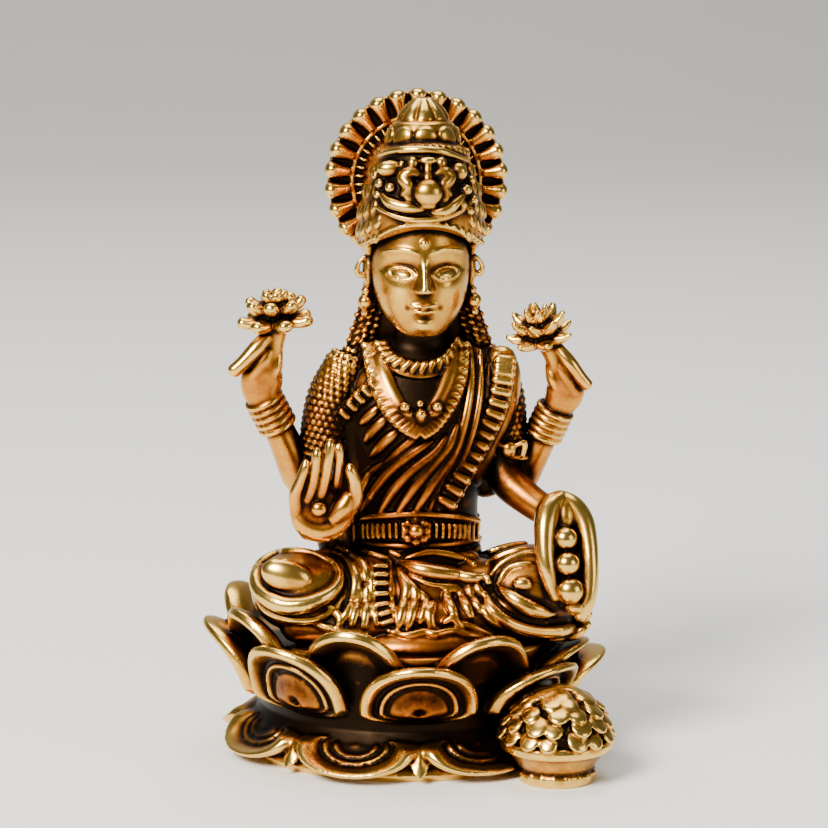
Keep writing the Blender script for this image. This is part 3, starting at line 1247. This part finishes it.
# Where the patina runs redder, and where it is blackest or, below 0, thinnest.
# Rows are (x, y, z, reach, strength), in mm.
WARM_PLACES = [
    (1, -7, 26.5, 6, 0.9), (3, -14, 17, 7, 0.75), (0, -6, 33, 7, 0.95), (4, -6, 42, 6, 0.25),
    (8, -6, 37, 4, 0.5), (-8, -5, 39, 4, 0.6), (1, -16.5, 13.5, 4, 0.9), (16, -10, 18, 5, 0.3),
    (-16.8, -2.6, 43, 4, 0.8), (18.4, -2.6, 42, 4, 0.8), (-5.6, 1, 50, 3.6, 0.8), (8.2, 1, 50, 3.6, 0.8),
    (-12.5, 0.4, 34.5, 4, 0.6), (14.4, 0.4, 34, 4, 0.6), (-10.8, -10.5, 30.7, 5, 0.9),
    (13.4, -4, 29.3, 4, 0.7),
]
DARK_PLACES = [
    (1.6, -3.5, 48.2, 3.4, 1), (1.8, -6.5, 44, 2.4, 0.9), (1.1, -5.2, 42, 2.4, 1), (1.6, -7, 67, 4.4, 0.8),
    (-3.4, -6.4, 65.5, 3, 0.6), (5.8, -6, 65.5, 3, 0.6), (0.5, -6, 33, 5, 0.6), (-5, -5, 37, 4, 0.5),
    (5, -6, 37, 4, 0.5), (8.3, -3, 29.7, 3.4, 1), (12, -2, 30, 4, 0.5), (-9, -4, 28, 4.5, 0.6),
    (-7, -4, 35.4, 4, 0.9), (-10, -1, 42, 5, 0.4), (11.5, 0, 38, 4, 0.4), (-6.4, 0, 50, 3.4, 0.5),
    (8.6, 0, 50, 3.4, 0.5), (14.5, -9, 17, 5, 0.4), (0, -10, 18.5, 6, -0.5), (2, -12, 14.5, 5, -0.3),
]


def petal_hearts(shift, share, reach, strength, leaf):
    """A spot of patina on each petal of a row, at one share of its height."""
    places = []
    for i in range(PETAL_COUNT):
        bearing = -90 + 360 / PETAL_COUNT * (i + shift)
        radius, height = leaf(share)
        turn = radians(bearing)
        sink = 0 if leaf is lower_leaf else petal_sink(bearing) * share
        places.append((radius * cos(turn), radius * sin(turn) * BASE_DEPTH, height - sink, reach, strength))
    return places


def waist_soot(points):
    """The dark hollow all round between the upper and the lower petals."""
    height, breadth, start, end, fade = WAIST_HEIGHT + 0.6, 1.5, 14, WAIST_RADIUS + 2.2, 1.2
    radius = np.hypot(points[:, 0], points[:, 1] / BASE_DEPTH)
    near = np.exp(-(((points[:, 2] - height) / breadth) ** 2))
    return near * np.clip((end - radius) / fade, 0, 1) * (radius > start)


def halo_brown(points):
    """The browner ring of the halo, between its bead ring and the heads of its ribs."""
    ring_radius, breadth, strength = 8.3, 1.1, 0.75
    x, y, z = HALO_CENTRE * SHARE + (FIGURE_OFFSET, 0, SEAT_HEIGHT)
    radius = np.hypot(points[:, 0] - x, points[:, 2] - z)
    near = strength * np.exp(-(((radius - ring_radius) / breadth) ** 2))
    return near * (np.abs(points[:, 1] - y) < 2) * (points[:, 2] > z - 7)


def spotted(points, places):
    total = 0
    for *place, reach, strength in places:
        total = total + strength * np.exp(-np.sum((points - place) ** 2, 1) / reach**2)
    return np.minimum(total, 1)


def add_patina(pieces):
    warm = WARM_PLACES + petal_hearts(0, 0.3, 3, 0.8, front_leaf)
    dark = DARK_PLACES + petal_hearts(0, 0.3, 3.2, 0.6, front_leaf)
    dark += petal_hearts(0.5, 0.4, 4.2, 1, back_leaf) + petal_hearts(0.5, 0.12, 3.6, 1.3, lower_leaf)
    for piece in pieces:
        co = rows_of(piece.data, "co")
        set_attribute(piece.data, "warm_patina", np.maximum(spotted(co, warm), halo_brown(co)))
        set_attribute(piece.data, "dark_patina", np.minimum(spotted(co, dark) + waist_soot(co), 1))


# The brass: polished where hands reach, brown in the hollows
BRASS_COLOURS = [
    (0.06, (0.84, 0.53, 0.115)),
    (0.26, (0.62, 0.32, 0.045)),
    (0.44, (0.36, 0.145, 0.02)),
    (0.6, (0.11, 0.037, 0.008)),
    (0.76, (0.012, 0.007, 0.004)),
]
BRASS_ROUGHNESS = [(0.1, (0.22,) * 3), (0.4, (0.3,) * 3), (0.8, (0.42,) * 3)]
WARM_TINT = (1, 0.66, 0.42, 1)
FLOOR_COLOUR = (0.86, 0.86, 0.85, 1)


def new_material(name):
    """A material with one shader, its node tree and the shader."""
    material = bpy.data.materials.new(name)
    material.use_nodes = True
    tree = material.node_tree
    tree.nodes.clear()
    shader = tree.nodes.new("ShaderNodeBsdfPrincipled")
    output = tree.nodes.new("ShaderNodeOutputMaterial")
    tree.links.new(shader.outputs[0], output.inputs["Surface"])
    return material, tree, shader


def node(tree, kind, inputs, output=0, **settings):
    """One output of a new node, whose inputs are linked to other outputs or set to numbers."""
    made = tree.nodes.new("ShaderNode" + kind)
    for name, value in settings.items():
        setattr(made, name, value)
    for socket, value in inputs.items():
        if isinstance(value, bpy.types.NodeSocket):
            tree.links.new(value, made.inputs[socket])
        else:
            made.inputs[socket].default_value = value
    return made.outputs[output]


def ramp_node(tree, factor, stops):
    made = tree.nodes.new("ShaderNodeValToRGB")
    elements = made.color_ramp.elements
    while len(elements) < len(stops):
        elements.new(0.5)
    for element, (place, colour) in zip(elements, stops):
        element.position = place
        element.color = (*colour, 1)
    tree.links.new(factor, made.inputs[0])
    return made.outputs[0]


def brass_material():
    material, tree, shader = new_material("antique_brass")

    def calc(operation, a, b, clamp=False):
        return node(tree, "Math", {0: a, 1: b}, operation=operation, use_clamp=clamp)

    def times(value, size):
        return calc("MULTIPLY", value, size)

    def relief(name):
        return node(tree, "Attribute", {}, "Fac", attribute_name=name)

    def noise(scale, detail):
        inputs = {"Vector": place, "Scale": scale, "Detail": detail, "Roughness": 0.5}
        return node(tree, "TexNoise", inputs)

    place = node(tree, "TexCoord", {}, "Object")
    warm, edge = relief("warm_patina"), relief("edge_relief")
    mottle, speckle = noise(700, 4), noise(3200, 3)
    kept = calc("ADD", times(edge, 1.6), 0.78, clamp=True)
    depth = calc("ADD", times(edge, 1.3), 0.27)
    for term in [
        times(calc("MAXIMUM", relief("hollow_relief"), 0), 1.7),
        relief("valley_relief"),
        times(warm, 0.24),
        times(times(relief("dark_patina"), kept), 0.55),
        times(calc("SUBTRACT", mottle, 0.5), 0.3),
        times(calc("SUBTRACT", speckle, 0.5), 0.14),
    ]:
        depth = calc("ADD", depth, term)
    depth = calc("MINIMUM", calc("MAXIMUM", depth, 0), 1)
    colour = ramp_node(tree, depth, BRASS_COLOURS)
    mixed = {"Fac": warm, "Color1": colour, "Color2": WARM_TINT}
    tinted = node(tree, "MixRGB", mixed, blend_type="MULTIPLY")
    grain = calc("ADD", times(mottle, 0.8), times(speckle, 0.5))
    bumps = node(tree, "Bump", {"Strength": 0.35, "Distance": 0.00004, "Height": grain})
    tree.links.new(tinted, shader.inputs["Base Color"])
    tree.links.new(ramp_node(tree, depth, BRASS_ROUGHNESS), shader.inputs["Roughness"])
    tree.links.new(bumps, shader.inputs["Normal"])
    shader.inputs["Metallic"].default_value = 1.0
    return material


def floor_material():
    material, _, shader = new_material("pale_floor")
    shader.inputs["Base Color"].default_value = FLOOR_COLOUR
    shader.inputs["Roughness"].default_value = 0.6
    return material


# Floor, light and camera. Lights are (name, place in metres, width, power, colour).
LIT_PLACE = (0, 0, 0.035)
LIGHTS = [
    ("key", (-0.34, -0.42, 0.44), 0.26, 12, (1, 0.95, 0.84)),
    ("fill", (0.5, -0.4, 0.22), 0.3, 1.1, (1, 0.97, 0.92)),
    ("top", (0, 0.15, 0.6), 0.5, 4, (1, 0.99, 0.96)),
]
WORLD_COLOUR = (1, 0.99, 0.97, 1)
WORLD_STRENGTH = 0.12


def add_floor():
    """A pale floor that rises into a backdrop a long way behind, in metres."""
    half_width, front, bend_start, bend, top = 2.5, -1.5, 0.6, 0.6, 2.5
    turn = np.radians(np.arange(10, 91, 10))
    depth = [front, 0, bend_start, *(bend_start + bend * np.sin(turn)), bend_start + bend]
    height = [0, 0, 0, *(bend - bend * np.cos(turn)), top]
    points = np.array([[(x, y, z) for x in (-half_width, half_width)] for y, z in zip(depth, height)])
    mesh = mesh_of("floor", points.reshape(-1, 3), grid_faces(len(points), 2, False))
    mesh.shade_smooth()
    mesh.materials.append(floor_material())
    floor = bpy.data.objects.new("floor", mesh)
    bpy.context.scene.collection.objects.link(floor)


def add_light(name, place, width, power, colour):
    light = bpy.data.lights.new(name, "AREA")
    light.size = width
    light.energy = power
    light.color = colour
    lamp = bpy.data.objects.new(name, light)
    lamp.location = place
    lamp.rotation_euler = (Vector(LIT_PLACE) - Vector(place)).to_track_quat("-Z", "Y").to_euler()
    bpy.context.scene.collection.objects.link(lamp)


def add_lights():
    for light in LIGHTS:
        add_light(*light)
    world = bpy.data.worlds.new("studio")
    world.use_nodes = True
    background = world.node_tree.nodes["Background"]
    background.inputs["Color"].default_value = WORLD_COLOUR
    background.inputs["Strength"].default_value = WORLD_STRENGTH
    bpy.context.scene.world = world


def add_camera():
    back = Vector(VIEW_BACK)
    data = bpy.data.cameras.new("camera")
    data.sensor_width = SENSOR_WIDTH
    data.lens = SENSOR_WIDTH * VIEW_DISTANCE / (FRAME_PIXELS * MM_PER_PIXEL)
    data.clip_start = 0.01
    data.clip_end = 20
    camera = bpy.data.objects.new("camera", data)
    camera.location = Vector(AIM) * METRES + back * VIEW_DISTANCE * METRES
    camera.rotation_euler = (-back).to_track_quat("-Z", "Y").to_euler()
    bpy.context.scene.collection.objects.link(camera)
    bpy.context.scene.camera = camera


def add_casting():
    pieces = [
        sculpted("lotus_base", lotus_base(), voxel=0.19, budget=180000),
        sculpted("coin_pot", pot(), voxel=0.16, budget=45000),
        sculpted("lap", lap(), voxel=0.14, budget=140000),
        sculpted("trunk", trunk() + figure(sleeves()), voxel=0.125, budget=180000),
        sculpted("arms", raised_arms() + open_palm() + giving_hand(), voxel=0.13, budget=130000),
        sculpted("head", head(), voxel=0.12, budget=110000),
        sculpted("crown_and_halo", crown() + halo(), voxel=0.125, budget=160000),
    ]
    add_relief(pieces)
    add_patina(pieces)
    brass = brass_material()
    for piece in pieces:
        points = np.maximum(rows_of(piece.data, "co"), (-np.inf, -np.inf, 0)) * METRES
        piece.data.vertices.foreach_set("co", points.astype(np.float32).ravel())
        piece.data.materials.clear()
        piece.data.materials.append(brass)
        piece.data.update()
        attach(piece, "root")
        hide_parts("lakshmi_figure")


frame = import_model()
add_camera()
add_lights()
add_floor()
add_casting()
